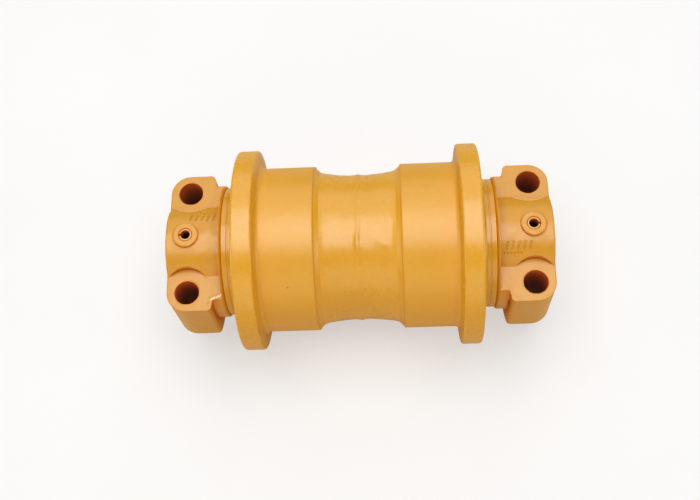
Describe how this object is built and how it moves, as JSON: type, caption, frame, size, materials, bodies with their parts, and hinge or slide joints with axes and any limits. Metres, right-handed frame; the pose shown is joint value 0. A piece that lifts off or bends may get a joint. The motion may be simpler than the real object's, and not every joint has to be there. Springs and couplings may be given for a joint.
{
  "type": "track roller",
  "caption": "Double-flanged track roller on a fixed shaft, with a cast end collar on each end drilled for frame bolts.",
  "frame": {"origin": "on the roller's axis, halfway between the end collars", "axes": "+X along the shaft towards the end with the oil plug, +Z towards the bolt-head seats of the collars, -Z towards the track frame, +Y to the far side"},
  "size_m": [0.414, 0.2192, 0.2192],
  "materials": {
    "golden_paint": "semi-gloss golden yellow enamel over castings and turned steel",
    "pin_paint": "the same enamel over a spring pin",
    "ground_steel": "ground",
    "plated_steel": "zinc plated",
    "bronze": "turned bronze",
    "seal_iron": "lapped cast iron",
    "nitrile": "matt black rubber"
  },
  "bodies": {
    "axle": {"shaft": "ground_steel", "oil_plug": "plated_steel", "oil_plug_o_ring": "nitrile", "end_collar_left": "golden_paint", "end_collar_right": "golden_paint", "locking_pin_left": "pin_paint", "locking_pin_right": "pin_paint", "shaft_o_ring_left": "nitrile", "shaft_o_ring_right": "nitrile", "seal_ring_fixed_left": "seal_iron", "seal_ring_fixed_right": "seal_iron", "toric_ring_fixed_left": "nitrile", "toric_ring_fixed_right": "nitrile"},
    "roller": {"roller_shell": "golden_paint", "bush_left": "bronze", "bush_right": "bronze", "seal_ring_rotating_left": "seal_iron", "seal_ring_rotating_right": "seal_iron", "toric_ring_rotating_left": "nitrile", "toric_ring_rotating_right": "nitrile"}
  },
  "joints": [
    {"name": "roller_spin", "type": "hinge", "parent": "axle", "child": "roller", "pos_m": [0, 0, 0], "axis": [1, 0, 0], "continuous": true}
  ]
}
